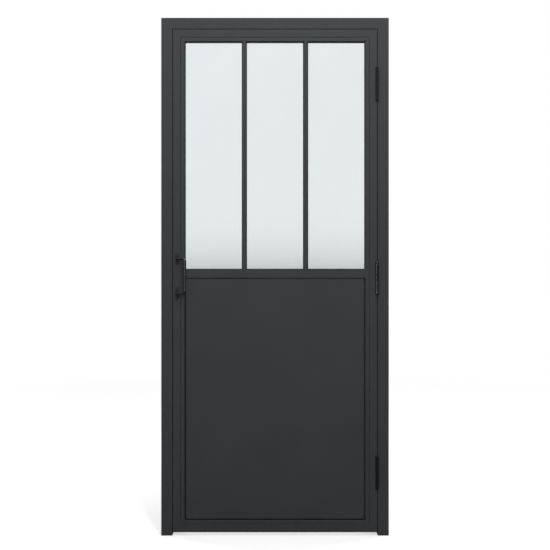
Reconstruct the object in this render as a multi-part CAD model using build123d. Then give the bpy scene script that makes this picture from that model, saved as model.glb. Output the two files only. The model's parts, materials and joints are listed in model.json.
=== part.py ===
"""Steel workshop-style glass door with its frame, in millimetres.

X runs to the right as seen from the pull side, Y away from the viewer and Z up. The origin is on the floor,
under the middle of the leaf's width and thickness. The leaf hangs on the right (+X) and swings towards the
viewer (-Y).
"""

import os

from build123d import *

# Leaf
LEAF_WIDTH = 830.0
LEAF_HEIGHT = 2040.0
LEAF_DEPTH = 40.0
STILE_FACE = 32.0
STILE_WALL = 2.0
FLOOR_GAP = 13.0  # under the closed leaf
RUNNING_GAP = 1.6  # round the leaf at its sides and top

# Every rectangular tube
TUBE_BEND = 0.5  # inner corner radius, so the outer one is this plus the wall

# Frame
JAMB_FACE = 45.0
FRAME_WALL = 1.5
STOP_FACE = 12.0
STOP_DEPTH = 25.0
STOP_WALL = 1.5
FIXING_RADIUS = 5.0
FIXING_END = 150.0  # from the floor and from the frame's top to the outermost jamb fixings
FIXING_COUNT = 4
HEAD_FIXING_SPACING = 500.0

# Seals and catch
SEAL_WIDTH = 8.0
SEAL_DEPTH = 4.7
SEAL_SKIN = 0.9
SEAL_INSET = 3.0  # from the jamb or head to the seal's near edge
SEAL_CLEARANCE = 0.3  # to the closed leaf
CATCH_LENGTH = 40.0
CATCH_CLEARANCE = 0.5  # to the closed leaf
CATCH_CORNER = 1.5

# Inner frame, mid rail and glazing bars
INNER_FACE = 16.5
INNER_DEPTH = 16.0
INNER_WALL = 1.5
INNER_RECESS = 2.0  # behind the faces of the stiles, front and rear
MID_RAIL_FACE = 35.0
MID_RAIL_CENTRE = 1061.5  # above the floor
BAR_FACE = 15.0
BAR_WEB = 3.0
BEAD_WALL = 1.5

# Panes, panel and gaskets
GLASS_DEPTH = 6.0
GLASS_LAP = 8.0  # of a pane or the panel behind the inner frame and mid rail
BAR_CLEARANCE = 1.5  # from a pane's edge to the bar's web
PANEL_SHEET = 1.5
PANEL_GROOVE = 5.0  # between the inner frame and the panel's raised field
PANEL_HEAD_GAP = 1.5  # between the mid rail and the raised field
PANEL_RECESS = 4.0  # of the raised field behind the inner frame's face
PANEL_BEND = 1.5  # outer radius round the raised field
GASKET_DEPTH = 2.0
PANE_LIP = 3.0  # of a pane's gasket that shows beside the inner frame
PANEL_LIP = 1.0  # of the panel's gasket, in the groove round the raised field
BLOCK_HEIGHT = 3.0
BLOCK_LENGTH = 30.0
BLOCK_PLACE_SHARES = (0.25, 0.75)  # of the pane's width

# Hinges
HINGE_LENGTH = 136.0
HINGE_RADIUS = 6.25
HINGE_END_TAPER = 2.2  # chamfer at the outer end of each half
HINGE_INSET = 1.5  # from the leaf's edge to the axis
HINGE_CLEARANCE = 0.3  # between a barrel and the faces that it turns in front of
LEAF_TAIL = 0.5  # of the leaf half's weld tail beyond the barrel
JAMB_TAIL = 1.0  # of the jamb half's weld tail beyond the barrel
HINGE_FOOT_DISTANCE = 244.0  # from the leaf's lower edge to the lowest hinge's middle
HINGE_HEAD_DISTANCE = 222.0  # from the leaf's upper edge to the highest hinge's middle
PIN_RADIUS = 4.0
PIN_LENGTH = 100.0
PIN_CHAMFER = 0.8
PIN_FIT = 0.05  # radial running clearance in the leaf's half
PIN_END_CLEARANCE = 1.0
WASHER_DEPTH = 1.5
WASHER_RADIUS = 5.8

# Pull handles
HANDLE_CENTRE = 1052.0  # above the floor
HANDLE_SPAN = 140.0  # between the two legs
HANDLE_INSET = 18.0  # from the leaf's edge to the middle of the plates
FRONT_HANDLE_OFFSET = 35.5  # of the front grip from its plates, towards the hinges
REAR_HANDLE_OFFSET = 14.0  # of the rear grip, which stays behind the stile
HANDLE_PROJECTION = 48.0  # of the grip's middle from the leaf's face
HANDLE_ROD_RADIUS = 5.5
HANDLE_STUB = 14.0  # straight start of each leg, from the leaf's face
HANDLE_BEND = 12.0
HANDLE_PLATE_LENGTH = 48.0
HANDLE_PLATE_WIDTH = 12.0
HANDLE_PLATE_DEPTH = 3.0
HANDLE_SCREW_SPACING = 32.0

# Screws of the handles and beads
SCREW_RADIUS = 2.0
SCREW_HEAD_RADIUS = 3.5
SCREW_HEAD_HEIGHT = 2.2
SCREW_TOP_RADIUS = 2.5  # of the flat on top of the tapered head
SCREW_CLEARANCE = 0.15
SCREW_REACH = 3.0  # beyond the last wall that the screw holds
BEAD_SCREW_EDGE = 5.0  # from the stile or rail to the bead screw's axis
BEAD_SCREW_END = 80.0  # from the end of a run to its first bead screw
UPRIGHT_SCREW_COUNT = 7
RAIL_SCREW_COUNT = 3

OVERRUN = 1.0  # of every cut beyond the face that it opens

# Planes and edges of the leaf and frame
FRONT = -LEAF_DEPTH / 2
REAR = LEAF_DEPTH / 2
LEAF_HALF = LEAF_WIDTH / 2
LEAF_LOW = FLOOR_GAP
LEAF_HIGH = LEAF_LOW + LEAF_HEIGHT
OPENING_HALF = LEAF_HALF + RUNNING_GAP
OPENING_HIGH = LEAF_HIGH + RUNNING_GAP
FRAME_HALF = OPENING_HALF + JAMB_FACE
FRAME_HIGH = OPENING_HIGH + JAMB_FACE
STOP_FRONT = REAR + SEAL_CLEARANCE + SEAL_DEPTH
FRAME_REAR = STOP_FRONT + STOP_DEPTH
FRAME_DEPTH = FRAME_REAR - FRONT
FRAME_MIDDLE = (FRONT + FRAME_REAR) / 2
STOP_MIDDLE = (STOP_FRONT + FRAME_REAR) / 2

# Layers of the leaf, from its front to its rear
INNER_HALF = LEAF_HALF - STILE_FACE
INNER_LOW = LEAF_LOW + STILE_FACE
INNER_HIGH = LEAF_HIGH - STILE_FACE
SIGHT_HALF = INNER_HALF - INNER_FACE
SIGHT_LOW = INNER_LOW + INNER_FACE
SIGHT_HIGH = INNER_HIGH - INNER_FACE
MID_LOW = MID_RAIL_CENTRE - MID_RAIL_FACE / 2
MID_HIGH = MID_RAIL_CENTRE + MID_RAIL_FACE / 2
MID_WEB = MID_RAIL_FACE - 2 * (GLASS_LAP + BLOCK_HEIGHT)
INNER_FRONT = FRONT + INNER_RECESS
INNER_REAR = INNER_FRONT + INNER_DEPTH
INNER_MIDDLE = (INNER_FRONT + INNER_REAR) / 2
GLASS_FRONT = INNER_REAR + GASKET_DEPTH
GLASS_REAR = GLASS_FRONT + GLASS_DEPTH
BEAD_FRONT = GLASS_REAR + GASKET_DEPTH
BEAD_REAR = REAR - INNER_RECESS
BEAD_DEPTH = BEAD_REAR - BEAD_FRONT
BEAD_MIDDLE = (BEAD_FRONT + BEAD_REAR) / 2
WEB_DEPTH = BEAD_FRONT - INNER_REAR
WEB_MIDDLE = (BEAD_FRONT + INNER_REAR) / 2

# Panes between the bars
BAR_LAP = (BAR_FACE - BAR_WEB) / 2 - BAR_CLEARANCE
PANE_SIGHT = (2 * SIGHT_HALF - 2 * BAR_FACE) / 3
PANE_PITCH = PANE_SIGHT + BAR_FACE
BAR_CENTRE = PANE_PITCH / 2

# Hinge axis and the two halves of a barrel
AXIS_X = LEAF_HALF - HINGE_INSET
AXIS_STANDOFF = HINGE_RADIUS + HINGE_CLEARANCE
AXIS_Y = FRONT - AXIS_STANDOFF
KNUCKLE_LENGTH = (HINGE_LENGTH - WASHER_DEPTH) / 2
PIN_SEAT = (PIN_LENGTH - WASHER_DEPTH) / 2

# Sides of the door: the latch side is at -X and the hinge side at +X
SIDES = {"latch": -1, "hinge": 1}

UPWARD = (Align.CENTER, Align.CENTER, Align.MIN)
DOWNWARD = (Align.CENTER, Align.CENTER, Align.MAX)


def tube_corner(wall):
    """Outer corner radius of a tube."""
    return wall + TUBE_BEND


def tube_outline(face, depth, wall):
    """Outer outline of a tube's section, with the face across X and the depth along Y."""
    return RectangleRounded(face, depth, tube_corner(wall))


def tube(face, depth, wall):
    """Section of a rectangular tube."""
    return tube_outline(face, depth, wall) - RectangleRounded(face - 2 * wall, depth - 2 * wall, TUBE_BEND)


def upright(section, x, y, low, high):
    """A member that stands from low to high."""
    return extrude(Pos(x, y, low) * section, high - low)


def crossbar(section, y, z, left, right):
    """A member that lies from left to right, with its section's depth along Y."""
    return extrude(Plane((left, y, z), x_dir=(0, 0, -1), z_dir=(1, 0, 0)) * section, right - left)


def slab(sketch, front, rear):
    """A flat piece between two depths, drawn in X and Z."""
    return extrude(Plane((0, rear, 0), x_dir=(1, 0, 0), z_dir=(0, -1, 0)) * sketch, rear - front)


def outline(bounds):
    """A rectangle between (left, low, right, high)."""
    left, low, right, high = bounds
    return Pos((left + right) / 2, (low + high) / 2) * Rectangle(right - left, high - low)


def grown(bounds, left, low, right, high):
    """Bounds with each edge moved outwards."""
    return bounds[0] - left, bounds[1] - low, bounds[2] + right, bounds[3] + high


def shrunk(bounds, margin):
    """Bounds with every edge moved inwards."""
    return grown(bounds, -margin, -margin, -margin, -margin)


def spread(low, high, count):
    """Evenly spaced places from low to high."""
    return [low + (high - low) * i / (count - 1) for i in range(count)]


def mitre(side, level, half_width, edge):
    """Mitre plane through an outer corner, with the upright behind it and the crossbar in front of it."""
    return Plane((side * half_width, 0, edge), z_dir=(-side, 0, level))


def mitred_surround(section, face, y, half_width, low, high):
    """Two uprights and two crossbars, mitred at the four corners of a rectangle."""
    members = {}
    for name, side in SIDES.items():
        member = upright(section, side * (half_width - face / 2), y, low, high)
        member = split(member, mitre(side, 1, half_width, high), keep=Keep.BOTTOM)
        members[name] = split(member, mitre(side, -1, half_width, low), keep=Keep.BOTTOM)
    for name, level, edge in (("top", 1, high), ("bottom", -1, low)):
        member = crossbar(section, y, edge - level * face / 2, -half_width, half_width)
        for side in SIDES.values():
            member = split(member, mitre(side, level, half_width, edge), keep=Keep.TOP)
        members[name] = member
    return members


def frame_tubes():
    """Jambs and head, mitred at the top corners and drilled for the wall fixings."""
    section = tube(JAMB_FACE, FRAME_DEPTH, FRAME_WALL)
    drill = Cylinder(FIXING_RADIUS, JAMB_FACE + 2 * OVERRUN)
    nodes = {}
    for name, side in SIDES.items():
        x = side * (FRAME_HALF - JAMB_FACE / 2)
        jamb = upright(section, x, FRAME_MIDDLE, 0, FRAME_HIGH)
        jamb = split(jamb, mitre(side, 1, FRAME_HALF, FRAME_HIGH), keep=Keep.BOTTOM)
        for z in spread(FIXING_END, FRAME_HIGH - FIXING_END, FIXING_COUNT):
            jamb -= Plane((x, 0, z), z_dir=(1, 0, 0)) * drill
        nodes[f"{name}_jamb"] = jamb
    z = FRAME_HIGH - JAMB_FACE / 2
    head = crossbar(section, FRAME_MIDDLE, z, -FRAME_HALF, FRAME_HALF)
    for side in SIDES.values():
        head = split(head, mitre(side, 1, FRAME_HALF, FRAME_HIGH), keep=Keep.TOP)
        head -= Pos(side * HEAD_FIXING_SPACING / 2, 0, z) * drill
    nodes["head"] = head
    return nodes


def stops():
    """Stop strips that the leaf closes against, ending level with its lower edge."""
    section = tube(STOP_FACE, STOP_DEPTH, STOP_WALL)
    nodes = {}
    for name, side in SIDES.items():
        x = side * (OPENING_HALF - STOP_FACE / 2)
        nodes[f"{name}_stop"] = upright(section, x, STOP_MIDDLE, LEAF_LOW, OPENING_HIGH - STOP_FACE)
    z = OPENING_HIGH - STOP_FACE / 2
    nodes["head_stop"] = crossbar(section, STOP_MIDDLE, z, -OPENING_HALF, OPENING_HALF)
    return nodes


def seal_section():
    """Hollow D of a rubber seal, with its base at the origin and its dome towards the leaf."""
    half = Pos(0, -SEAL_DEPTH / 2) * Rectangle(SEAL_WIDTH, SEAL_DEPTH)
    outer = Ellipse(SEAL_WIDTH / 2, SEAL_DEPTH) & half
    hollow = Ellipse(SEAL_WIDTH / 2 - SEAL_SKIN, SEAL_DEPTH - 2 * SEAL_SKIN) & half
    return outer - Pos(0, -SEAL_SKIN) * hollow


def seals_and_catch():
    """Seals on the three stops, and the magnet that takes the head seal's place at the latch corner."""
    section = seal_section()
    far_edge = SEAL_INSET + SEAL_WIDTH
    nodes = {}
    for name, side in SIDES.items():
        x = side * (OPENING_HALF - SEAL_INSET - SEAL_WIDTH / 2)
        nodes[f"{name}_seal"] = upright(section, x, STOP_FRONT, LEAF_LOW, OPENING_HIGH - far_edge)
    z = OPENING_HIGH - SEAL_INSET - SEAL_WIDTH / 2
    catch_left = -OPENING_HALF + SEAL_INSET
    catch_right = catch_left + CATCH_LENGTH
    nodes["head_seal"] = crossbar(section, STOP_FRONT, z, catch_right, OPENING_HALF - SEAL_INSET)
    face = Pos((catch_left + catch_right) / 2, z) * RectangleRounded(CATCH_LENGTH, SEAL_WIDTH, CATCH_CORNER)
    nodes["catch_magnet"] = slab(face, REAR + CATCH_CLEARANCE, STOP_FRONT)
    return nodes


def screw(shank):
    """A screw with its tapered head above the origin and its shank below."""
    head = Cone(SCREW_HEAD_RADIUS, SCREW_TOP_RADIUS, SCREW_HEAD_HEIGHT, align=UPWARD)
    return head + Cylinder(SCREW_RADIUS, shank, align=DOWNWARD)


def screw_hole(shank):
    """The clearance hole for a screw, past its head and its end."""
    length = shank + 2 * OVERRUN
    return Pos(0, 0, OVERRUN) * Cylinder(SCREW_RADIUS + SCREW_CLEARANCE, length, align=DOWNWARD)


def bead_screw_places():
    """Where the bead screws stand: along the uprights, the crossbars and the mid rail, seen from the rear."""
    places = []
    for side in SIDES.values():
        for z in spread(INNER_LOW + BEAD_SCREW_END, INNER_HIGH - BEAD_SCREW_END, UPRIGHT_SCREW_COUNT):
            places.append(Plane((side * (INNER_HALF - BEAD_SCREW_EDGE), BEAD_REAR, z), z_dir=(0, 1, 0)))
    for z in (INNER_LOW + BEAD_SCREW_EDGE, MID_RAIL_CENTRE, INNER_HIGH - BEAD_SCREW_EDGE):
        for x in spread(BEAD_SCREW_END - SIGHT_HALF, SIGHT_HALF - BEAD_SCREW_END, RAIL_SCREW_COUNT):
            places.append(Plane((x, BEAD_REAR, z), z_dir=(0, 1, 0)))
    return places


def handle_screw_places():
    """Where the front handle's screws stand, above and below each leg."""
    y = FRONT - HANDLE_PLATE_DEPTH
    return [
        Plane((HANDLE_INSET - LEAF_HALF, y, z + step * HANDLE_SCREW_SPACING / 2), z_dir=(0, -1, 0))
        for z in handle_legs()
        for step in (-1, 1)
    ]


def handle_legs():
    """Heights of a handle's two legs."""
    return HANDLE_CENTRE - HANDLE_SPAN / 2, HANDLE_CENTRE + HANDLE_SPAN / 2


HANDLE_SHANK = HANDLE_PLATE_DEPTH + STILE_WALL + SCREW_REACH
BEAD_SHANK = BEAD_REAR - INNER_REAR + INNER_WALL + SCREW_REACH


def leaf_tubes():
    """Stiles and rails of the leaf, with the latch stile drilled for both handles."""
    section = tube(STILE_FACE, LEAF_DEPTH, STILE_WALL)
    members = mitred_surround(section, STILE_FACE, 0, LEAF_HALF, LEAF_LOW, LEAF_HIGH)
    for place in handle_screw_places():
        hole = place * screw_hole(HANDLE_SHANK)
        members["latch"] -= hole
        members["latch"] -= mirror(hole, Plane.XZ)
    return {
        "latch_stile": members["latch"],
        "hinge_stile": members["hinge"],
        "top_rail": members["top"],
        "bottom_rail": members["bottom"],
    }


def inner_frame():
    """Front inner frame round the panes and panel, drilled from behind for the bead screws."""
    section = tube(INNER_FACE, INNER_DEPTH, INNER_WALL)
    members = mitred_surround(section, INNER_FACE, INNER_MIDDLE, INNER_HALF, INNER_LOW, INNER_HIGH)
    return {f"inner_frame_{name}": drilled_for_beads(member) for name, member in members.items()}


def drilled_for_beads(member):
    """A member with the bead screws' holes."""
    box = member.bounding_box()
    for place in bead_screw_places():
        if box.min.X < place.origin.X < box.max.X and box.min.Z < place.origin.Z < box.max.Z:
            member -= place * screw_hole(BEAD_SHANK)
    return member


def mid_rail():
    """T-section rail: its tube is coped to the inner frame, and its web runs between the stiles."""
    reach = SIGHT_HALF + INNER_FACE / 2
    section = tube(MID_RAIL_FACE, INNER_DEPTH, INNER_WALL)
    rail = crossbar(section, INNER_MIDDLE, MID_RAIL_CENTRE, -reach, reach)
    neighbour = tube_outline(INNER_FACE, INNER_DEPTH, INNER_WALL)
    for side in SIDES.values():
        rail -= upright(neighbour, side * reach, INNER_MIDDLE, INNER_LOW, INNER_HIGH)
    web = Rectangle(MID_WEB, WEB_DEPTH)
    rail += crossbar(web, WEB_MIDDLE, MID_RAIL_CENTRE, -INNER_HALF, INNER_HALF)
    return drilled_for_beads(rail)


def glazing_bars():
    """T-section bars: tubes coped to the mid rail and inner frame, and webs that part the panes."""
    low = MID_RAIL_CENTRE
    high = SIGHT_HIGH + INNER_FACE / 2
    below = tube_outline(MID_RAIL_FACE, INNER_DEPTH, INNER_WALL)
    above = tube_outline(INNER_FACE, INNER_DEPTH, INNER_WALL)
    section = tube(BAR_FACE, INNER_DEPTH, INNER_WALL)
    nodes = {}
    for name, side in SIDES.items():
        bar = upright(section, side * BAR_CENTRE, INNER_MIDDLE, low, high)
        bar -= crossbar(below, INNER_MIDDLE, low, -SIGHT_HALF, SIGHT_HALF)
        bar -= crossbar(above, INNER_MIDDLE, high, -SIGHT_HALF, SIGHT_HALF)
        web = Rectangle(BAR_WEB, WEB_DEPTH)
        bar += upright(web, side * BAR_CENTRE, WEB_MIDDLE, MID_RAIL_CENTRE + MID_WEB / 2, INNER_HIGH)
        nodes[f"{name}_glazing_bar"] = bar
    return nodes


def infills():
    """Name, sight bounds and edge bounds of each pane and of the panel."""
    rows = []
    for name, place in (("latch", -1), ("middle", 0), ("hinge", 1)):
        middle = place * PANE_PITCH
        sight = (middle - PANE_SIGHT / 2, MID_HIGH, middle + PANE_SIGHT / 2, SIGHT_HIGH)
        left = GLASS_LAP if name == "latch" else BAR_LAP
        right = GLASS_LAP if name == "hinge" else BAR_LAP
        rows.append((f"{name}_pane", sight, grown(sight, left, GLASS_LAP, right, GLASS_LAP)))
    sight = (-SIGHT_HALF, SIGHT_LOW, SIGHT_HALF, MID_LOW)
    rows.append(("panel", sight, grown(sight, GLASS_LAP, GLASS_LAP, GLASS_LAP, GLASS_LAP)))
    return rows


def panel_sheets(sight, edges):
    """The panel's front sheet, with a raised field and a turned-back rim, and the flat sheet behind it."""
    field = grown(sight, -PANEL_GROOVE, -PANEL_GROOVE, -PANEL_GROOVE, -PANEL_HEAD_GAP)
    field_front = INNER_FRONT + PANEL_RECESS
    front = slab(outline(edges), GLASS_FRONT, GLASS_REAR) + slab(outline(field), field_front, GLASS_FRONT)
    front = fillet(front.faces().sort_by(Axis.Y)[0].edges(), PANEL_BEND)
    within_rim = outline(shrunk(edges, PANEL_SHEET))
    front -= slab(within_rim, GLASS_FRONT + PANEL_SHEET, GLASS_REAR + OVERRUN)
    front -= slab(outline(shrunk(field, PANEL_SHEET)), field_front + PANEL_SHEET, GLASS_REAR)
    return {"lower_panel": front, "panel_back": slab(within_rim, GLASS_REAR - PANEL_SHEET, GLASS_REAR)}


def panes_and_panel():
    """Glass panes, the panel, their gaskets front and rear, and the blocks that they stand on."""
    nodes = {}
    blocks = []
    for name, sight, edges in infills():
        if name == "panel":
            nodes.update(panel_sheets(sight, edges))
            lip, seat = PANEL_LIP, INNER_LOW
        else:
            nodes[f"glass_{name}"] = slab(outline(edges), GLASS_FRONT, GLASS_REAR)
            lip, seat = PANE_LIP, MID_RAIL_CENTRE + MID_WEB / 2
        ring = outline(edges) - outline(shrunk(sight, lip))
        nodes[f"front_gasket_{name}"] = slab(ring, INNER_REAR, GLASS_FRONT)
        nodes[f"rear_gasket_{name}"] = slab(ring, GLASS_REAR, BEAD_FRONT)
        for share in BLOCK_PLACE_SHARES:
            middle = edges[0] + share * (edges[2] - edges[0])
            bounds = (middle - BLOCK_LENGTH / 2, seat, middle + BLOCK_LENGTH / 2, edges[1])
            blocks.append(slab(outline(bounds), GLASS_FRONT, GLASS_REAR))
    nodes["setting_blocks"] = Compound(blocks)
    return nodes


def rear_beads():
    """Removable beads that hold the panes and panel from the rear, and their screws."""
    section = tube(INNER_FACE, BEAD_DEPTH, BEAD_WALL)
    members = mitred_surround(section, INNER_FACE, BEAD_MIDDLE, INNER_HALF, INNER_LOW, INNER_HIGH)
    wide = tube(MID_RAIL_FACE, BEAD_DEPTH, BEAD_WALL)
    members["mid"] = crossbar(wide, BEAD_MIDDLE, MID_RAIL_CENTRE, -SIGHT_HALF, SIGHT_HALF)
    nodes = {f"rear_bead_{name}": drilled_for_beads(member) for name, member in members.items()}
    narrow = tube(BAR_FACE, BEAD_DEPTH, BEAD_WALL)
    for name, side in SIDES.items():
        nodes[f"rear_bead_{name}_bar"] = upright(narrow, side * BAR_CENTRE, BEAD_MIDDLE, MID_HIGH, SIGHT_HIGH)
    nodes["bead_screws"] = Compound([place * screw(BEAD_SHANK) for place in bead_screw_places()])
    return nodes


def knuckle(up, foot_inner, tail_reach, bore_radius, bore_depth):
    """Half of a weld-on barrel, from the washer away, with a tapered tail that stands on the face behind it.

    Up is 1 for the leaf's half and -1 for the jamb's half, and the tail lies on that half's side of the axis.
    """
    barrel = Cylinder(HINGE_RADIUS, KNUCKLE_LENGTH, align=UPWARD)
    barrel = chamfer(barrel.edges().sort_by(Axis.Z)[-1], HINGE_END_TAPER)
    foot_outer = -up * (HINGE_RADIUS + tail_reach)
    tail = make_face(
        Polyline(
            (0, 0),
            (-up * HINGE_RADIUS, 0),
            (foot_outer, AXIS_STANDOFF),
            (foot_inner, AXIS_STANDOFF),
            close=True,
        )
    )
    body = barrel + extrude(tail, KNUCKLE_LENGTH - HINGE_END_TAPER)
    body -= Cylinder(bore_radius, bore_depth, align=UPWARD)
    if up < 0:
        body = mirror(body, Plane.XY)
    return Pos(0, 0, up * WASHER_DEPTH / 2) * body


def hinges():
    """Three weld-on hinges: jamb half, leaf half, pin and bearing washer."""
    pin = Cylinder(PIN_RADIUS, PIN_LENGTH)
    pin = chamfer(pin.edges().filter_by(GeomType.CIRCLE), PIN_CHAMFER)
    washer = Cylinder(WASHER_RADIUS, WASHER_DEPTH) - Cylinder(PIN_RADIUS + PIN_FIT, WASHER_DEPTH)
    leaf_flat = HINGE_INSET - tube_corner(STILE_WALL)
    leaf_half = knuckle(1, leaf_flat, LEAF_TAIL, PIN_RADIUS + PIN_FIT, PIN_SEAT + PIN_END_CLEARANCE)
    jamb_flat = HINGE_INSET + RUNNING_GAP + tube_corner(FRAME_WALL)
    jamb_half = knuckle(-1, jamb_flat, JAMB_TAIL, PIN_RADIUS, PIN_SEAT)
    lowest = LEAF_LOW + HINGE_FOOT_DISTANCE
    highest = LEAF_HIGH - HINGE_HEAD_DISTANCE
    nodes = {}
    for name, z in zip(("lower", "middle", "upper"), spread(lowest, highest, 3)):
        place = Pos(AXIS_X, AXIS_Y, z)
        nodes[f"{name}_hinge_jamb_half"] = place * jamb_half
        nodes[f"{name}_hinge_leaf_half"] = place * leaf_half
        nodes[f"{name}_hinge_pin"] = place * pin
        nodes[f"{name}_hinge_washer"] = place * washer
    return nodes


def bow_handle(grip_offset):
    """A cranked bow handle on two plates, at the leaf's front."""
    low, high = handle_legs()
    x = HANDLE_INSET - LEAF_HALF
    grip_x = x + grip_offset
    foot_y = FRONT - HANDLE_PLATE_DEPTH
    bend_y = FRONT - HANDLE_STUB
    grip_y = FRONT - HANDLE_PROJECTION
    route = FilletPolyline(
        (x, foot_y, low),
        (x, bend_y, low),
        (grip_x, grip_y, low),
        (grip_x, grip_y, high),
        (x, bend_y, high),
        (x, foot_y, high),
        radius=HANDLE_BEND,
    )
    handle = sweep(Plane(route @ 0, z_dir=route % 0) * Circle(HANDLE_ROD_RADIUS), path=route)
    plate = Rot(0, 0, 90) * SlotOverall(HANDLE_PLATE_LENGTH, HANDLE_PLATE_WIDTH)
    for z in (low, high):
        handle += slab(Pos(x, z) * plate, foot_y, FRONT)
    for place in handle_screw_places():
        handle -= place * screw_hole(HANDLE_SHANK)
    return handle


def pull_handles():
    """Bow handles front and rear, the rear one cranked less, and their screws."""
    screws = Compound([place * screw(HANDLE_SHANK) for place in handle_screw_places()])
    return {
        "front_handle": bow_handle(FRONT_HANDLE_OFFSET),
        "front_handle_screws": screws,
        "rear_handle": mirror(bow_handle(REAR_HANDLE_OFFSET), Plane.XZ),
        "rear_handle_screws": mirror(screws, Plane.XZ),
    }


def door():
    """Every node of the door by name."""
    return {
        **frame_tubes(),
        **stops(),
        **seals_and_catch(),
        **leaf_tubes(),
        **inner_frame(),
        "mid_rail": mid_rail(),
        **glazing_bars(),
        **panes_and_panel(),
        **rear_beads(),
        **hinges(),
        **pull_handles(),
    }


os.makedirs("parts", exist_ok=True)
for node, shape in door().items():
    export_step(shape, f"parts/{node}.step")
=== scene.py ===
"""Looks of a steel workshop-style glass door with its frame.

Lengths are in metres. X runs to the right as seen from the pull side, Y away from the viewer and Z up.
The solids of the door stay where they are: this file gives them their finishes, eases the edges of the
hardware, adds the weld beads and the screws' drives, and sets up the studio.
"""

import json
import math

import bmesh
import bpy
from bpy.props import FloatProperty, FloatVectorProperty, IntProperty, PointerProperty
from mathutils import Matrix, Vector


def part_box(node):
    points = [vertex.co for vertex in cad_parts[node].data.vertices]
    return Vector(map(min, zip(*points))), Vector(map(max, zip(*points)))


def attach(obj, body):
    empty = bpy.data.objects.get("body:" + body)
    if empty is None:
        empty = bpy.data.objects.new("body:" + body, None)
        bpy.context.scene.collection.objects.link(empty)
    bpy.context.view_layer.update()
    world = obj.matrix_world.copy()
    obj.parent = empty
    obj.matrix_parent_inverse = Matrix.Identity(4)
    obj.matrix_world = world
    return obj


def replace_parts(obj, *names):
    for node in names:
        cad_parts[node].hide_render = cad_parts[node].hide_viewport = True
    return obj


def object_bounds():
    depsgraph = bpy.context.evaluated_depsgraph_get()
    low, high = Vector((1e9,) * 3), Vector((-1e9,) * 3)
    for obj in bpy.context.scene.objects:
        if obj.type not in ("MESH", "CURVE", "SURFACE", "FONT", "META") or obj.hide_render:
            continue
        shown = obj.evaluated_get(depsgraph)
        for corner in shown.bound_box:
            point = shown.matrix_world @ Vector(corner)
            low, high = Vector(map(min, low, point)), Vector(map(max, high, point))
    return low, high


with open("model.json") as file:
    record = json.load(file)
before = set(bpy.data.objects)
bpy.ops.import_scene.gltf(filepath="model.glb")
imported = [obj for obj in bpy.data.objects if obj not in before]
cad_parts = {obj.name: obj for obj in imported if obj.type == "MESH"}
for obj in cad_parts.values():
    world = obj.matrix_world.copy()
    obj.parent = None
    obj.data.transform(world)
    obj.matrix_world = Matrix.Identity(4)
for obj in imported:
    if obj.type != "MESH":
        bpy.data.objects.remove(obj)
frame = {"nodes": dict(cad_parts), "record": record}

bl_info = {
    "name": "Glass Door Looks",
    "version": (1, 0, 0),
    "blender": (4, 5, 0),
    "location": "3D View > Sidebar > Glass Door",
    "description": "Finishes, welds, screws and studio for a steel glass door",
    "category": "Object",
}

CAD_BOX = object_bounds()
SLOT_OF = {row["node"]: row["material_slot"] for row in frame["record"]["subparts"]}
BODY_OF = {node: body for body, nodes in frame["record"]["behaviour"]["bodies"].items() for node in nodes}
HINGES = ("lower", "middle", "upper")
WHITE = (1, 1, 1, 1)
BLACK = (0, 0, 0, 1)

# Mesh limits
JOIN_DISTANCE = 1e-6  # vertices nearer than this are one
FLAT_ANGLE = math.radians(0.6)  # facets that turn less than this are one flat
SHARP_ANGLE = math.radians(32)  # edges that turn more than this are eased and stay crisp
EASE_SEGMENTS = 3  # facets across an eased edge

# Weld beads
BEAD_SIDES = 10  # facets over a bead, from edge to edge
BEAD_RINGS = 6  # rings of vertices in a ripple
BEAD_ROOT = 1 / 3  # share of a bead's height that its edges lie inside the face
BEAD_RIPPLE = 0.14  # share of a bead's size that the ripples take
BEAD_LEAD = 0.45  # share of the pitch by which a ripple's crown lies above its edges

# Screws
RIM_SHARE = 0.97  # vertices beyond this share of a head's radius are on its rim
SHANK_SHARE = 4 / 7  # radius of a shank to that of its head
TIP_SHARE = 0.8  # radius of a shank's tip to that of the shank
TIP_LENGTH = 0.2  # length of the tip's bevel to the head's radius
# From rim to top, shares of a head's height and radius
HEAD_DOME = ((0.25, 1.0), (0.55, 0.965), (0.78, 0.87), (0.93, 0.72), (1.0, 0.55))
# From mouth to floor, shares of a head's height and of its socket's width
SOCKET_STEPS = ((1.0, 1.08), (0.93, 1.0), (0.3, 1.0))


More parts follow.
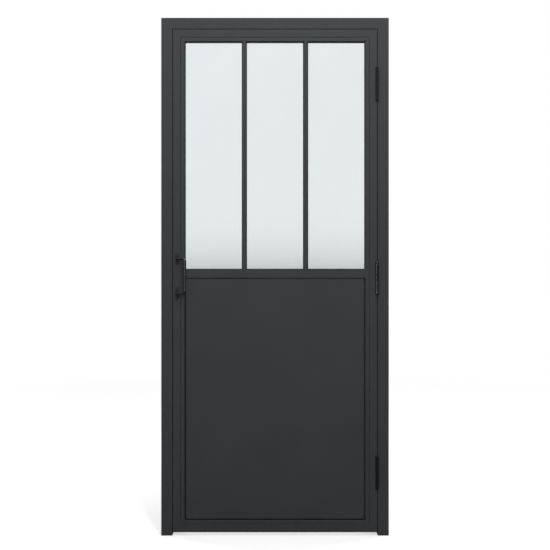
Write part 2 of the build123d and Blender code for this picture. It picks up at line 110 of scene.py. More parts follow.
class DoorFinishes(bpy.types.PropertyGroup):
    """Colours and surface detail of the door."""

    coat_colour: FloatVectorProperty(
        name="Coat colour",
        description="Powder coat of the frame and leaf",
        subtype="COLOR",
        default=(0.040, 0.042, 0.0442),
        min=0,
        max=1,
    )
    coat_grain: FloatProperty(
        name="Coat grain",
        description="Size of the powder coat's fine texture",
        unit="LENGTH",
        default=0.0013,
        min=0.0002,
    )
    coat_roughness: FloatProperty(
        name="Coat roughness",
        description="Mean roughness of the powder coat",
        subtype="FACTOR",
        default=0.66,
        min=0,
        max=1,
    )
    hinge_colour: FloatVectorProperty(
        name="Hinge colour",
        description="Black finish of the hinges",
        subtype="COLOR",
        default=(0.007, 0.007, 0.0075),
        min=0,
        max=1,
    )
    handle_colour: FloatVectorProperty(
        name="Handle colour",
        description="Satin black of the pull handles",
        subtype="COLOR",
        default=(0.016, 0.016, 0.0168),
        min=0,
        max=1,
    )
    screw_colour: FloatVectorProperty(
        name="Screw colour",
        description="Black oxide of the screws",
        subtype="COLOR",
        default=(0.02, 0.02, 0.021),
        min=0,
        max=1,
    )
    rubbed_colour: FloatVectorProperty(
        name="Rubbed colour",
        description="Hairlines in the black of the hinges, handles and screws",
        subtype="COLOR",
        default=(0.05, 0.05, 0.052),
        min=0,
        max=1,
    )
    pin_colour: FloatVectorProperty(
        name="Pin colour",
        description="Steel of the hinge pins",
        subtype="COLOR",
        default=(0.42, 0.42, 0.43),
        min=0,
        max=1,
    )
    pin_line_colour: FloatVectorProperty(
        name="Pin line colour",
        description="Hairlines in the steel of the hinge pins",
        subtype="COLOR",
        default=(0.6, 0.6, 0.61),
        min=0,
        max=1,
    )
    washer_colour: FloatVectorProperty(
        name="Washer colour",
        description="Bearing washers of the hinges",
        subtype="COLOR",
        default=(0.015, 0.015, 0.016),
        min=0,
        max=1,
    )
    rubber_colour: FloatVectorProperty(
        name="Rubber colour",
        description="Gaskets and seals",
        subtype="COLOR",
        default=(0.012, 0.012, 0.012),
        min=0,
        max=1,
    )
    block_colour: FloatVectorProperty(
        name="Block colour",
        description="Setting blocks under the panes and the panel",
        subtype="COLOR",
        default=(0.35, 0.36, 0.36),
        min=0,
        max=1,
    )
    catch_colour: FloatVectorProperty(
        name="Catch colour",
        description="Housing of the catch magnet",
        subtype="COLOR",
        default=(0.03, 0.03, 0.031),
        min=0,
        max=1,
    )
    glass_colour: FloatVectorProperty(
        name="Glass colour",
        description="Tint of the frosted panes",
        subtype="COLOR",
        default=(0.815, 0.85, 0.862),
        min=0,
        max=1,
    )
    glass_frost: FloatProperty(
        name="Glass frost",
        description="Mean roughness of the panes",
        subtype="FACTOR",
        default=0.24,
        min=0,
        max=1,
    )
    # Painted shade: share of the glass tint that is left at the darkened foot of each pane
    painted_foot_shade: FloatProperty(
        name="Painted foot shade",
        description="Share of the glass colour that is left at the foot of a pane",
        subtype="FACTOR",
        default=0.71,
        min=0,
        max=1,
    )
    dust_colour: FloatVectorProperty(
        name="Dust colour",
        description="Dust on upward faces",
        subtype="COLOR",
        default=(0.16, 0.155, 0.145),
        min=0,
        max=1,
    )


class DoorDetails(bpy.types.PropertyGroup):
    """Sizes of the small things that are added to the solids."""

    hinge_ease: FloatProperty(
        name="Hinge edge",
        description="Rounding of the hinges' edges",
        unit="LENGTH",
        default=0.0007,
    )
    handle_ease: FloatProperty(
        name="Handle edge",
        description="Rounding of the handle plates' edges",
        unit="LENGTH",
        default=0.0002,
    )
    catch_ease: FloatProperty(
        name="Catch edge",
        description="Rounding of the catch magnet's edges",
        unit="LENGTH",
        default=0.0005,
    )
    weld_width: FloatProperty(
        name="Weld width",
        description="Width of a weld bead on the face that it is laid on",
        unit="LENGTH",
        default=0.0022,
    )
    weld_height: FloatProperty(
        name="Weld height",
        description="Height of a weld bead above that face",
        unit="LENGTH",
        default=0.0009,
    )
    weld_pitch: FloatProperty(
        name="Weld pitch",
        description="Distance from one ripple of a weld bead to the next",
        unit="LENGTH",
        default=0.0017,
    )
    pane_lap: FloatProperty(
        name="Pane lap",
        description="Height of a pane that the mid rail and its gasket hide",
        unit="LENGTH",
        default=0.011,
    )
    # Painted shade: height over which the foot of each pane is painted darker
    painted_shade_height: FloatProperty(
        name="Painted shade height",
        description="Height of the grey fade at the foot of a pane",
        unit="LENGTH",
        default=0.34,
    )
    socket_width: FloatProperty(
        name="Drive width",
        description="Width across the flats of a screw's hexagon socket",
        unit="LENGTH",
        default=0.0025,
    )
    screw_segments: IntProperty(
        name="Screw segments",
        description="Sides of a round screw head, a multiple of six",
        default=36,
        min=12,
    )


class DoorStudio(bpy.types.PropertyGroup):
    """Camera, floor and light."""

    picture_width: FloatProperty(
        name="Picture width",
        description="Width of the picture at the front of the frame",
        unit="LENGTH",
        default=2.230,
    )
    camera_distance: FloatProperty(
        name="Camera distance",
        description="From the front of the frame to the camera",
        unit="LENGTH",
        default=4.7,
    )
    camera_height: FloatProperty(
        name="Camera height",
        description="Of the camera above the floor",
        unit="LENGTH",
        default=1.0565,
    )
    key_power: FloatProperty(
        name="Key power",
        description="Wide lamp before and above the head",
        unit="POWER",
        default=29,
    )
    right_power: FloatProperty(
        name="Right power",
        description="Small high lamp that draws the handle's shadow to its left",
        unit="POWER",
        default=39,
    )
    strip_power: FloatProperty(
        name="Strip power",
        description="Narrow lamp at the front left that the hinges and handle mirror",
        unit="POWER",
        default=15,
    )
    rear_power: FloatProperty(
        name="Rear power",
        description="Each of two lamps at the sides of the rear",
        unit="POWER",
        default=40,
    )
    ambient: FloatProperty(
        name="Ambient",
        description="Strength of the even light from all round",
        default=0.08,
        min=0,
    )
    wall_grey: FloatProperty(
        name="Wall grey",
        description="Brightness at the top of the studio walls that only mirrored light sees",
        default=0.36,
        min=0,
    )
    wall_foot_grey: FloatProperty(
        name="Wall foot grey",
        description="Brightness at the foot of those walls and of the disc between them",
        default=0.08,
        min=0,
    )
    floor_colour: FloatVectorProperty(
        name="Floor colour",
        description="Plain pale floor",
        subtype="COLOR",
        default=(0.82, 0.82, 0.82),
        min=0,
        max=1,
    )


# Shader helpers


def feed(tree, socket, value):
    """Links an input socket to another node, or gives it a value."""
    if isinstance(value, bpy.types.NodeSocket):
        tree.links.new(value, socket)
    else:
        socket.default_value = value


def place(tree, kind, inputs=None, **settings):
    """Adds a shader node, with its settings and its input values or links."""
    node = tree.nodes.new(kind)
    for name, value in settings.items():
        setattr(node, name, value)
    for name, value in (inputs or {}).items():
        feed(tree, node.inputs[name], value)
    return node


def math_node(tree, operation, first, second):
    """The result of a sum on two values."""
    return place(tree, "ShaderNodeMath", {0: first, 1: second}, operation=operation).outputs[0]


def remap(tree, value, span=(0.0, 1.0), to=(0.0, 1.0)):
    """A value mapped from one span to another, and kept inside it."""
    inputs = {"Value": value, "From Min": span[0], "From Max": span[1], "To Min": to[0], "To Max": to[1]}
    return place(tree, "ShaderNodeMapRange", inputs).outputs["Result"]


def blend_colours(tree, factor, first, second):
    """One colour turning into another."""
    node = place(tree, "ShaderNodeMix", data_type="RGBA")
    sockets = [s for s in node.inputs if s.enabled]
    for socket, value in zip(sockets, (factor, first, second)):
        feed(tree, socket, value)
    return next(s for s in node.outputs if s.enabled)


def shade_colour(tree, colour, share):
    """A colour times a value."""
    node = place(tree, "ShaderNodeVectorMath", {"Vector": colour, "Scale": share}, operation="SCALE")
    return node.outputs["Vector"]


def noise(tree, coordinates, scale, detail):
    """The value of a noise texture."""
    inputs = {"Vector": coordinates, "Scale": scale, "Detail": detail}
    return place(tree, "ShaderNodeTexNoise", inputs).outputs["Fac"]


def own_coordinates(tree):
    """The coordinates of the object that is shaded."""
    return place(tree, "ShaderNodeTexCoord").outputs["Object"]


def upward_part(tree, vector):
    """The Z of a vector."""
    return place(tree, "ShaderNodeSeparateXYZ", {"Vector": vector}).outputs["Z"]


def opaque(colour):
    """A colour with full alpha."""
    return (*colour, 1.0)


# Shader groups

SOCKETS = {"colour": "NodeSocketColor", "value": "NodeSocketFloat"}


def new_group(name, inputs, outputs):
    """An empty shader group with named sockets, its input sockets by name, and its output node."""
    tree = bpy.data.node_groups.new(name, "ShaderNodeTree")
    for direction, sockets in (("INPUT", inputs), ("OUTPUT", outputs)):
        for socket, kind in sockets.items():
            tree.interface.new_socket(name=socket, in_out=direction, socket_type=SOCKETS[kind])
    entry = tree.nodes.new("NodeGroupInput")
    return tree, entry.outputs, tree.nodes.new("NodeGroupOutput")


def close_group(tree, exit_node, results):
    """Links a group's results to its output sockets."""
    for name, socket in results.items():
        tree.links.new(socket, exit_node.inputs[name])


def surface_grain():
    """Group: fine texture of a sprayed, moulded or oxide surface, with broad mottling."""
    name = "Surface grain"
    if name in bpy.data.node_groups:
        return bpy.data.node_groups[name]
    tree, entry, exit_node = new_group(
        name,
        {"Colour": "colour", "Grain": "value", "Mottle": "value", "Roughness": "value", "Spread": "value"},
        {"Colour": "colour", "Roughness": "value", "Height": "value"},
    )
    peel_share, broad_share, middle = 0.3, 0.6, 0.5
    coordinates = own_coordinates(tree)
    fine_scale = math_node(tree, "DIVIDE", 1.0, entry["Grain"])
    peel_scale = math_node(tree, "MULTIPLY", fine_scale, peel_share)
    fine = noise(tree, coordinates, scale=fine_scale, detail=2.0)
    peel = noise(tree, coordinates, scale=peel_scale, detail=1.0)
    broad = noise(tree, coordinates, scale=4.0, detail=4.0)
    broad_part = math_node(tree, "MULTIPLY", broad, broad_share)
    fine_part = math_node(tree, "MULTIPLY", fine, 1 - broad_share)
    cloud = math_node(tree, "ADD", broad_part, fine_part)
    darker = math_node(tree, "SUBTRACT", 1.0, entry["Mottle"])
    paler = math_node(tree, "ADD", 1.0, entry["Mottle"])
    shade = remap(tree, cloud, span=(0.34, 0.66), to=(darker, paler))
    sway = math_node(tree, "MULTIPLY", math_node(tree, "SUBTRACT", cloud, middle), entry["Spread"])
    results = {
        "Colour": shade_colour(tree, entry["Colour"], shade),
        "Roughness": math_node(tree, "ADD", entry["Roughness"], sway),
        "Height": math_node(tree, "ADD", fine, peel),
    }
    close_group(tree, exit_node, results)
    return tree


def settled_dust():
    """Group: a little dust on faces that look up, broken up by noise."""
    name = "Settled dust"
    if name in bpy.data.node_groups:
        return bpy.data.node_groups[name]
    tree, entry, exit_node = new_group(
        name,
        {"Colour": "colour", "Dust colour": "colour", "Amount": "value"},
        {"Colour": "colour"},
    )
    upward = upward_part(tree, place(tree, "ShaderNodeNewGeometry").outputs["Normal"])
    specks = noise(tree, own_coordinates(tree), scale=55.0, detail=5.0)
    patches = remap(tree, specks, span=(0.38, 0.72), to=(0.15, 1.0))
    facing = remap(tree, upward, span=(0.45, 0.95))
    mask = math_node(tree, "MULTIPLY", math_node(tree, "MULTIPLY", facing, patches), entry["Amount"])
    colour = blend_colours(tree, mask, entry["Colour"], entry["Dust colour"])
    close_group(tree, exit_node, {"Colour": colour})
    return tree


def hairline_rub():
    """Group: fine hairlines and rubbed patches where hands and moving metal touch a surface."""
    name = "Hairline rub"
    if name in bpy.data.node_groups:
        return bpy.data.node_groups[name]
    tree, entry, exit_node = new_group(
        name,
        {
            "Colour": "colour",
            "Rubbed colour": "colour",
            "Amount": "value",
            "Roughness": "value",
            "Polish": "value",
        },
        {"Colour": "colour", "Roughness": "value", "Mask": "value"},
    )
    stretch = (1.0, 1.0, 0.06)
    coordinates = own_coordinates(tree)
    drawn = place(tree, "ShaderNodeMapping", {"Vector": coordinates, "Scale": stretch}).outputs["Vector"]
    lines = remap(tree, noise(tree, drawn, scale=1900.0, detail=3.0), span=(0.56, 0.74))
    patches = remap(tree, noise(tree, coordinates, scale=38.0, detail=4.0), span=(0.44, 0.66))
    rubbed = math_node(tree, "MULTIPLY", lines, patches)
    mask = math_node(tree, "MULTIPLY", rubbed, entry["Amount"])
    polish = math_node(tree, "MULTIPLY", patches, entry["Polish"])
    results = {
        "Colour": blend_colours(tree, mask, entry["Colour"], entry["Rubbed colour"]),
        "Roughness": math_node(tree, "SUBTRACT", entry["Roughness"], polish),
        "Mask": mask,
    }
    close_group(tree, exit_node, results)
    return tree


# Materials


def new_material(name, constants):
    """A material, its node tree and its shader, with the values that are the same all over."""
    material = bpy.data.materials.new(name)
    material.use_nodes = True
    tree = material.node_tree
    shader = next(n for n in tree.nodes if n.type == "BSDF_PRINCIPLED")
    for socket, value in constants.items():
        shader.inputs[socket].default_value = value
    return material, tree, shader


def use_group(tree, group, inputs):
    """The outputs of a group that is placed in a material."""
    return place(tree, "ShaderNodeGroup", inputs, node_tree=group).outputs


def grained(tree, colour, grain, mottle, roughness, spread):
    """A colour, roughness and height with the surface grain."""
    inputs = {"Colour": opaque(colour), "Grain": grain, "Mottle": mottle}
    return use_group(tree, surface_grain(), {**inputs, "Roughness": roughness, "Spread": spread})


def dusted(tree, colour, amount):
    """A colour with the settled dust."""
    dust = opaque(bpy.context.scene.door_finishes.dust_colour)
    inputs = {"Colour": colour, "Dust colour": dust, "Amount": amount}
    return use_group(tree, settled_dust(), inputs)["Colour"]


def rubbed_through(tree, colour, rubbed, amount, roughness, polish):
    """A colour, roughness and mask with the hairlines and rubbed patches."""
    inputs = {"Colour": colour, "Rubbed colour": opaque(rubbed), "Amount": amount}
    return use_group(tree, hairline_rub(), {**inputs, "Roughness": roughness, "Polish": polish})


def clothe(tree, shader, colour, roughness, height, strength, distance):
    """Links a colour, a roughness and the bump of a height to a shader."""
    bump = place(tree, "ShaderNodeBump", {"Height": height, "Strength": strength, "Distance": distance})
    tree.links.new(colour, shader.inputs["Base Color"])
    tree.links.new(roughness, shader.inputs["Roughness"])
    tree.links.new(bump.outputs["Normal"], shader.inputs["Normal"])


def powder_coat(name):
    """Anthracite powder coat: fine texture, faint mottling, a trace of dust on ledges."""
    finishes = bpy.context.scene.door_finishes
    material, tree, shader = new_material(name, {"Specular IOR Level": 0.2})
    grain = grained(
        tree,
        finishes.coat_colour,
        grain=finishes.coat_grain,
        mottle=0.07,
        roughness=finishes.coat_roughness,
        spread=0.35,
    )
    colour = dusted(tree, grain["Colour"], amount=0.22)
    clothe(tree, shader, colour, grain["Roughness"], grain["Height"], strength=0.22, distance=0.00025)
    return material


def black_metal(name, colour, roughness, rubbed_amount):
    """Satin black hardware, rubbed a little by use."""
    rubbed = bpy.context.scene.door_finishes.rubbed_colour
    material, tree, shader = new_material(name, {"Specular IOR Level": 0.65})
    grain = grained(tree, colour, grain=0.0008, mottle=0.1, roughness=roughness, spread=0.06)
    rub = rubbed_through(tree, grain["Colour"], rubbed, rubbed_amount, grain["Roughness"], polish=0.01)
    clothe(tree, shader, rub["Colour"], rub["Roughness"], grain["Height"], strength=0.05, distance=0.0001)
    return material


def bare_metal(name, colour, rubbed, roughness):
    """Turned steel with hairlines."""
    material, tree, shader = new_material(name, {"Metallic": 1.0})
    rub = rubbed_through(tree, opaque(colour), rubbed, amount=0.7, roughness=roughness, polish=0.1)
    clothe(tree, shader, rub["Colour"], rub["Roughness"], rub["Mask"], strength=0.15, distance=0.00005)
    return material


def moulded(name, colour, roughness, grain_size, dust):
    """Rubber or plastic: matt skin with fine pores and a trace of dust."""
    material, tree, shader = new_material(name, {"Specular IOR Level": 0.35})
    grain = grained(tree, colour, grain=grain_size, mottle=0.12, roughness=roughness, spread=0.3)
    dusty = dusted(tree, grain["Colour"], amount=dust)
    clothe(tree, shader, dusty, grain["Roughness"], grain["Height"], strength=0.25, distance=0.0001)
    return material


def frosted_glass(name):
    """Satin-etched glass: an even frost with a faint cloud in its tint, and painted shade that greys its
    foot.
    """
    finishes, details = bpy.context.scene.door_finishes, bpy.context.scene.door_details
    steepness = 4.0
    constants = {"Transmission Weight": 1.0, "IOR": 1.5, "Metallic": 0.0}
    material, tree, shader = new_material(name, constants)
    frost = grained(
        tree,
        finishes.glass_colour,
        grain=0.0006,
        mottle=0.012,
        roughness=finishes.glass_frost,
        spread=0.12,
    )
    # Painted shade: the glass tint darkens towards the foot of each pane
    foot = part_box("glass_middle_pane")[0].z + details.pane_lap
    level = upward_part(tree, own_coordinates(tree))
    nearness = remap(tree, level, span=(foot, foot + details.painted_shade_height), to=(1.0, 0.0))
    fade = remap(tree, math_node(tree, "POWER", nearness, steepness), to=(1.0, finishes.painted_foot_shade))
    colour = shade_colour(tree, frost["Colour"], fade)
    clothe(tree, shader, colour, frost["Roughness"], frost["Height"], strength=0.05, distance=0.00005)
    return material


# Mesh helpers


def nodes_in(*slots):
    """CAD nodes that take their finish from these slots."""
    found = [node for node, slot in SLOT_OF.items() if slot in slots]
    if not found:
        raise RuntimeError(f"no node takes its finish from {slots}")
    return found


def paint(nodes, material):
    """Gives CAD nodes a material."""
    for node in nodes:
        materials = frame["nodes"][node].data.materials
        materials.clear()
        materials.append(material)


def new_object(name, bm, material):
    """An object in the scene, made from a bmesh."""
    mesh = bpy.data.meshes.new(name)
    bm.to_mesh(mesh)
    bm.free()
    mesh.materials.append(material)
    made = bpy.data.objects.new(name, mesh)
    bpy.context.scene.collection.objects.link(made)
    return made


def new_piece(name, bm, node, material):
    """A new piece from a bmesh, with the given material, on the body of a CAD node."""
    bmesh.ops.recalc_face_normals(bm, faces=bm.faces)
    piece = new_object(name, bm, material)
    piece.data.shade_smooth()
    piece.data.set_sharp_from_angle(angle=SHARP_ANGLE)
    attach(piece, BODY_OF[node])
    return piece


def joined_copy(node):
    """A CAD node's mesh with its faces joined up."""
    bm = bmesh.new()
    bm.from_mesh(frame["nodes"][node].data)
    bmesh.ops.remove_doubles(bm, verts=bm.verts, dist=JOIN_DISTANCE)
    return bm


def eased(node, width, material):
    """Stands for a CAD node with its sharp edges rounded."""
    bm = joined_copy(node)
    bmesh.ops.dissolve_limit(bm, angle_limit=FLAT_ANGLE, verts=bm.verts, edges=bm.edges)
    sharp = [e for e in bm.edges if len(e.link_faces) == 2 and e.calc_face_angle() > SHARP_ANGLE]
    bmesh.ops.bevel(
        bm,
        geom=sharp,
        offset=width,
        segments=EASE_SEGMENTS,
        profile=0.5,
        affect="EDGES",
        clamp_overlap=True,
    )
    piece = new_piece(f"{node}_eased", bm, node, material)
    piece.modifiers.new("Face-weighted shading", "WEIGHTED_NORMAL").keep_sharp = True
    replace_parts(piece, node)


def islands(bm):
    """Lists of connected vertices."""
    seen = set()
    groups = []
    for start in bm.verts:
        if start in seen:
            continue
        seen.add(start)
        group = [start]
        for vert in group:
            for edge in vert.link_edges:
                other = edge.other_vert(vert)
                if other not in seen:
                    seen.add(other)
                    group.append(other)
        groups.append(group)
    return groups


def skin(bm, rings):
    """Faces between rings of vertices, and a cap at each end."""
    for lower, upper in zip(rings, rings[1:]):
        for i in range(len(lower)):
            k = (i + 1) % len(lower)
            bm.faces.new((lower[i], lower[k], upper[k], upper[i]))
    bm.faces.new(rings[0])
    bm.faces.new(rings[-1])


# Welds


def weld_bead(bm, x, y, low, high, details):
    """A rippled bead along a hinge's foot, laid on the face at y, with its edges just inside it."""
    half_width = details.weld_width / 2
    step = details.weld_pitch / BEAD_RINGS
    count = round((high - low) / step)
    rings = []
    for i in range(count + 1):
        z = low + (high - low) * i / count
        end = min(z - low, high - z)
        swell = math.sqrt(min(1.0, (end + step) / half_width))
        wave = abs(math.sin(math.pi * (z - low) / details.weld_pitch))
        ripple = 1 - BEAD_RIPPLE + BEAD_RIPPLE * wave
        ring = []
        for j in range(BEAD_SIDES + 1):
            turn = math.pi * j / BEAD_SIDES
            across = half_width * swell * ripple * math.cos(turn)
            rise = details.weld_height * swell * ripple * math.sin(turn)
            sunk = details.weld_height * BEAD_ROOT * (j in (0, BEAD_SIDES))
            lead = details.weld_pitch * BEAD_LEAD * math.sin(turn)
            ring.append(bm.verts.new((x + across, y - rise + sunk, z + lead)))
        rings.append(ring)
    skin(bm, rings)


# Screws


def screw_axes(node):
    """For each screw of a CAD group: its head's seat, side, height and radius, and its shank's length."""
    axes = []
    bm = joined_copy(node)
    for group in islands(bm):
        low = Vector(min(v.co[i] for v in group) for i in range(3))
        high = Vector(max(v.co[i] for v in group) for i in range(3))
        radius = (high.x - low.x) / 2
        x, z = (low.x + high.x) / 2, (low.z + high.z) / 2
        rim = [v.co.y for v in group if math.hypot(v.co.x - x, v.co.z - z) > RIM_SHARE * radius]
        seat = sum(rim) / len(rim)
        side = 1 if high.y - seat < seat - low.y else -1
        height = (high.y if side > 0 else low.y) - seat
        shank = seat - (low.y if side > 0 else high.y)
        axes.append((Vector((x, seat, z)), side, abs(height), radius, abs(shank)))
    bm.free()
    return axes


def hexagon_reach(turn, width):
    """Distance from a hexagon's middle to its edge in one direction."""
    sixth = math.pi / 3
    return width / 2 / math.cos(turn % sixth - sixth / 2)


def socket_screw(bm, seat, side, height, radius, shank, details):
    """A button-head screw with a hexagon socket, its head above the seat."""
    shank_radius = radius * SHANK_SHARE
    turns = [2 * math.pi * i / details.screw_segments for i in range(details.screw_segments)]
    profile = [(-shank, shank_radius * TIP_SHARE), (-shank + TIP_LENGTH * radius, shank_radius)]
    profile += [(0.0, shank_radius), (0.0, radius)]
    profile += [(height * rise, radius * share) for rise, share in HEAD_DOME]
    levels = [(level, [reach] * len(turns)) for level, reach in profile]
    for rise, share in SOCKET_STEPS:
        width = details.socket_width * share
        levels.append((height * rise, [hexagon_reach(turn, width) for turn in turns]))
    rings = []
    for level, reaches in levels:
        spots = [(r * math.cos(turn), side * level, r * math.sin(turn)) for r, turn in zip(reaches, turns)]
        rings.append([bm.verts.new(seat + Vector(spot)) for spot in spots])
    skin(bm, rings)


# Operators, one for each group of like pieces


class GLASS_DOOR_OT_coat_steel(bpy.types.Operator):
    """Powder-coats the frame, the leaf, its inner frame, bars, panel and beads"""

    bl_idname = "glass_door.coat_steel"
    bl_label = "Coat Steel"

    def execute(self, context):
        paint(nodes_in("frame_coat"), powder_coat("frame coat"))
        paint(nodes_in("leaf_coat"), powder_coat("leaf coat"))
        return {"FINISHED"}


class GLASS_DOOR_OT_frost_panes(bpy.types.Operator):
    """Makes the three panes satin-etched glass"""

    bl_idname = "glass_door.frost_panes"
    bl_label = "Frost Panes"

    def execute(self, context):
        paint(nodes_in("frosted_glass"), frosted_glass("frosted glass"))
        return {"FINISHED"}


class GLASS_DOOR_OT_fit_rubber(bpy.types.Operator):
    """Gives the gaskets, seals and setting blocks their rubber and plastic"""

    bl_idname = "glass_door.fit_rubber"
    bl_label = "Fit Rubber"

    def execute(self, context):
        finishes = context.scene.door_finishes
        rubber, block = finishes.rubber_colour, finishes.block_colour
        gasket = moulded("gasket rubber", rubber, roughness=0.62, grain_size=0.0009, dust=0.08)
        paint(nodes_in("gasket_rubber"), gasket)
        seal = moulded("seal rubber", rubber, roughness=0.7, grain_size=0.0007, dust=0.12)
        paint(nodes_in("seal_rubber"), seal)
        plastic = moulded("block plastic", block, roughness=0.45, grain_size=0.0006, dust=0.1)
        paint(nodes_in("block_plastic"), plastic)
        return {"FINISHED"}


class GLASS_DOOR_OT_dress_catch(bpy.types.Operator):
    """Finishes the catch magnet's housing and eases its edges"""

    bl_idname = "glass_door.dress_catch"
    bl_label = "Dress Catch"

    def execute(self, context):
        colour = context.scene.door_finishes.catch_colour
        housing = moulded("catch housing", colour, roughness=0.42, grain_size=0.0006, dust=0.1)
        for node in nodes_in("catch_housing"):
            eased(node, context.scene.door_details.catch_ease, housing)
        return {"FINISHED"}


class GLASS_DOOR_OT_hang_hinges(bpy.types.Operator):
    """Finishes the hinges, eases their edges and lays the weld beads along their feet"""

    bl_idname = "glass_door.hang_hinges"
    bl_label = "Hang Hinges"

    def execute(self, context):
        finishes, details = context.scene.door_finishes, context.scene.door_details
        black = black_metal("hinge black", finishes.hinge_colour, roughness=0.14, rubbed_amount=0.12)
        steel = bare_metal("pin steel", finishes.pin_colour, finishes.pin_line_colour, roughness=0.3)
        paint(nodes_in("pin_steel"), steel)
        washer = finishes.washer_colour
        acetal = moulded("washer acetal", washer, roughness=0.4, grain_size=0.0006, dust=0.05)
        paint(nodes_in("washer_acetal"), acetal)
        for hinge in HINGES:
            for half, corner, tube in (("leaf", 0, "hinge_stile"), ("jamb", 1, "hinge_jamb")):
                node = f"{hinge}_hinge_{half}_half"
                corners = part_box(node)
                eased(node, details.hinge_ease, black)
                # The bead stays clear of the tapered end: the top of a leaf half, the foot of a jamb half.
                taper = 2 * details.weld_width
                low = corners[0].z + taper * (half == "jamb") + details.weld_width / 2
                high = corners[1].z - taper * (half == "leaf") - details.weld_width / 2
                bm = bmesh.new()
                weld_bead(bm, corners[corner].x, corners[1].y, low, high, details)
                coat = frame["nodes"][tube].data.materials[0]
                new_piece(f"{hinge}_hinge_{half}_weld", bm, tube, coat)
        return {"FINISHED"}


class GLASS_DOOR_OT_fit_handles(bpy.types.Operator):
    """Finishes the two pull handles and eases the edges of their plates"""

    bl_idname = "glass_door.fit_handles"
    bl_label = "Fit Handles"

    def execute(self, context):
        finishes, details = context.scene.door_finishes, context.scene.door_details
        black = black_metal("handle black", finishes.handle_colour, roughness=0.25, rubbed_amount=0.2)
        for node in nodes_in("handle_black"):
            eased(node, details.handle_ease, black)
        return {"FINISHED"}


class GLASS_DOOR_OT_drive_screws(bpy.types.Operator):
    """Puts a socket screw in place of every plain screw"""

    bl_idname = "glass_door.drive_screws"
    bl_label = "Drive Screws"

    def execute(self, context):
        finishes, details = context.scene.door_finishes, context.scene.door_details
        oxide = black_metal("screw black", finishes.screw_colour, roughness=0.38, rubbed_amount=0.3)
        for node in nodes_in("screw_black"):
            bm = bmesh.new()
            for axis in screw_axes(node):
                socket_screw(bm, *axis, details)
            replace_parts(new_piece(f"{node}_driven", bm, node, oxide), node)
        return {"FINISHED"}


class GLASS_DOOR_OT_set_stage(bpy.types.Operator):
    """Lays the floor, raises the mirrored walls and sets the world, the lamps and the camera"""

    bl_idname = "glass_door.set_stage"
    bl_label = "Set Stage"

    def execute(self, context):
        studio = context.scene.door_studio
        context.scene.view_settings.view_transform = "Standard"
        lay_floor(studio)
        raise_walls(studio)
        light_world(studio)
        hang_lamps(studio)
        set_camera(studio)
        return {"FINISHED"}


# Studio


def seen_as_background(tree):
    """One for rays that see the background straight, mirrored or through glass, and weren't scattered."""
    half_bounce = 0.5
    path = place(tree, "ShaderNodeLightPath").outputs
    mirrored = math_node(tree, "MAXIMUM", path["Is Camera Ray"], path["Is Glossy Ray"])
    shown = math_node(tree, "MAXIMUM", mirrored, path["Is Transmission Ray"])
    unscattered = math_node(tree, "LESS_THAN", path["Diffuse Depth"], half_bounce)
    return math_node(tree, "MULTIPLY", shown, unscattered)


def lay_floor(studio):
    """A plain pale floor that turns white away from the door and keeps its shadow near it."""
    reach, drop, cloud_lift = 30.0, 0.0005, 1.03
    near, far = 0.6, 2.4
    near_glow, far_glow = 0.56, 0.9
    constants = {"Roughness": 0.9, "Specular IOR Level": 0.1, "Emission Color": WHITE}
    material, tree, shader = new_material("pale floor", constants)
    coordinates = own_coordinates(tree)
    cloud = remap(tree, noise(tree, coordinates, scale=3.0, detail=3.0), span=(0.3, 0.7))
    paler = tuple(min(1.0, channel * cloud_lift) for channel in studio.floor_colour)
    colour = blend_colours(tree, cloud, opaque(studio.floor_colour), opaque(paler))
    tree.links.new(colour, shader.inputs["Base Color"])
    away = place(tree, "ShaderNodeVectorMath", {0: coordinates}, operation="LENGTH").outputs["Value"]
    brightness = remap(tree, away, span=(near, far), to=(near_glow, far_glow))
    glow = math_node(tree, "MULTIPLY", brightness, seen_as_background(tree))
    tree.links.new(glow, shader.inputs["Emission Strength"])
    bm = bmesh.new()
    bmesh.ops.create_grid(bm, x_segments=2, y_segments=2, size=reach)
    floor = new_object("floor", bm, material)
    floor.location.z = -drop


def raise_walls(studio):
    """Walls and a disc that only mirrored light sees, paler upwards, to give black metal dark flanks."""
    radius, height, segments = 7.0, 5.0, 64
    constants = {"Base Color": BLACK, "Specular IOR Level": 0.0, "Emission Color": WHITE}
    material, tree, shader = new_material("grey walls", constants)
    level = upward_part(tree, own_coordinates(tree))
    greys = (studio.wall_foot_grey, studio.wall_grey)
    glow = remap(tree, level, span=(-height / 2, height / 2), to=greys)
    tree.links.new(glow, shader.inputs["Emission Strength"])
    bm = bmesh.new()
    bmesh.ops.create_cone(bm, segments=segments, radius1=radius, radius2=radius, depth=height)
    foot = Matrix.Translation((0, 0, -height / 2))
    bmesh.ops.create_circle(bm, cap_ends=True, segments=segments, radius=radius, matrix=foot)
    walls = new_object("studio_walls", bm, material)
    walls.location.z = height / 2
    for ray in ("camera", "diffuse", "transmission", "shadow", "volume_scatter"):
        setattr(walls, f"visible_{ray}", False)


def light_world(studio):
    """White behind everything, and an even ambient light."""
    world = bpy.data.worlds.new("white studio")
    bpy.context.scene.world = world
    world.use_nodes = True
    tree = world.node_tree
    background = next(n for n in tree.nodes if n.type == "BACKGROUND")
    background.inputs["Color"].default_value = WHITE
    strength = remap(tree, seen_as_background(tree), to=(studio.ambient, 1.0))
    tree.links.new(strength, background.inputs["Strength"])


def hang_lamp(name, spot, target, size, power):
    """An area lamp that looks at a target and doesn't show through the glass."""
    lamp = bpy.data.lights.new(name, "AREA")
    lamp.shape = "RECTANGLE"
    lamp.size, lamp.size_y = size
    lamp.energy = power
    holder = bpy.data.objects.new(name, lamp)
    direction = Vector(target) - Vector(spot)
    turn = direction.to_track_quat("-Z", "Y").to_matrix().to_4x4()
    holder.matrix_world = Matrix.Translation(spot) @ turn
    holder.visible_transmission = False
    bpy.context.scene.collection.objects.link(holder)
    return holder


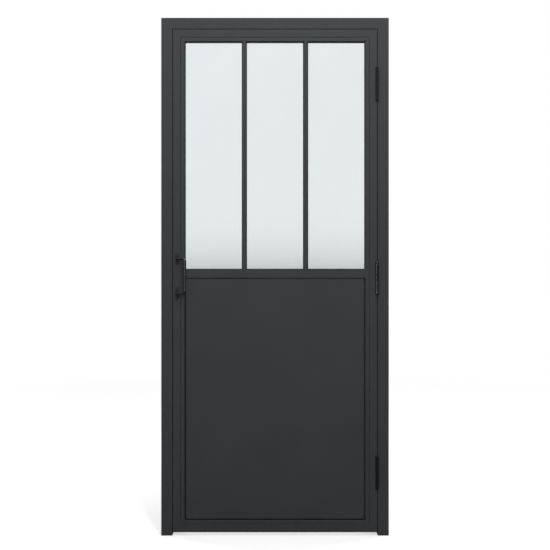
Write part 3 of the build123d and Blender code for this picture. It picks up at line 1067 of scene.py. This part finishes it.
def hang_lamps(studio):
    """Hangs the lamps.

    The key is wide and hangs before and above the head. A small high lamp in front of the door draws the
    handle's shadow and is mirrored nowhere. A narrow strip at the front left shows in the round metal, and
    two tall lamps at the sides light the rear.
    """
    top = CAD_BOX[1].z
    upper, middle = (0, 0, top * 0.6), (0, 0, top * 0.5)
    hang_lamp(
        "key lamp",
        spot=(0.1, -1.5, top + 0.9),
        target=upper,
        size=(2.2, 0.6),
        power=studio.key_power,
    )
    right = hang_lamp(
        "right lamp",
        spot=(0.3, -2.9, top),
        target=upper,
        size=(0.25, 0.25),
        power=studio.right_power,
    )
    right.visible_glossy = False
    hang_lamp(
        "strip lamp",
        spot=(-2.6, -4.2, top * 0.5),
        target=middle,
        size=(0.3, 0.55),
        power=studio.strip_power,
    )
    for side in (-1, 1):
        hang_lamp(
            f"rear lamp {side}",
            spot=(side * 2.9, 1.9, top * 0.7),
            target=middle,
            size=(0.8, 1.8),
            power=studio.rear_power,
        )


def set_camera(studio):
    """A camera square to the door."""
    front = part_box("head")[0].y
    camera = bpy.data.cameras.new("camera")
    camera.lens = camera.sensor_width * studio.camera_distance / studio.picture_width
    holder = bpy.data.objects.new("camera", camera)
    holder.location = (0.0, front - studio.camera_distance, studio.camera_height)
    holder.rotation_euler = (math.pi / 2, 0.0, 0.0)
    bpy.context.scene.collection.objects.link(holder)
    bpy.context.scene.camera = holder


# Panel and registration


class GLASS_DOOR_PT_looks(bpy.types.Panel):
    """The door's steps and settings in the sidebar"""

    bl_idname = "GLASS_DOOR_PT_looks"
    bl_label = "Glass Door"
    bl_space_type = "VIEW_3D"
    bl_region_type = "UI"
    bl_category = "Glass Door"

    def draw(self, context):
        for step in STEPS:
            self.layout.operator(step.bl_idname)
        for name in SETTINGS:
            settings = getattr(context.scene, name)
            box = self.layout.box()
            for key in settings.bl_rna.properties.keys():
                if key not in ("rna_type", "name"):
                    box.prop(settings, key)


STEPS = (
    GLASS_DOOR_OT_coat_steel,
    GLASS_DOOR_OT_frost_panes,
    GLASS_DOOR_OT_fit_rubber,
    GLASS_DOOR_OT_dress_catch,
    GLASS_DOOR_OT_hang_hinges,
    GLASS_DOOR_OT_fit_handles,
    GLASS_DOOR_OT_drive_screws,
    GLASS_DOOR_OT_set_stage,
)
SETTINGS = {"door_finishes": DoorFinishes, "door_details": DoorDetails, "door_studio": DoorStudio}


def register():
    """Registers the settings, the steps and the panel."""
    for cls in (*SETTINGS.values(), *STEPS, GLASS_DOOR_PT_looks):
        bpy.utils.register_class(cls)
    for name, cls in SETTINGS.items():
        setattr(bpy.types.Scene, name, PointerProperty(type=cls))


def unregister():
    """Takes them away again."""
    for name in SETTINGS:
        delattr(bpy.types.Scene, name)
    for cls in reversed((*SETTINGS.values(), *STEPS, GLASS_DOOR_PT_looks)):
        bpy.utils.unregister_class(cls)


def main():
    """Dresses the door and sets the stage."""
    register()
    bpy.ops.glass_door.coat_steel()
    bpy.ops.glass_door.frost_panes()
    bpy.ops.glass_door.fit_rubber()
    bpy.ops.glass_door.dress_catch()
    bpy.ops.glass_door.hang_hinges()
    bpy.ops.glass_door.fit_handles()
    bpy.ops.glass_door.drive_screws()
    bpy.ops.glass_door.set_stage()


if __name__ == "__main__":
    main()
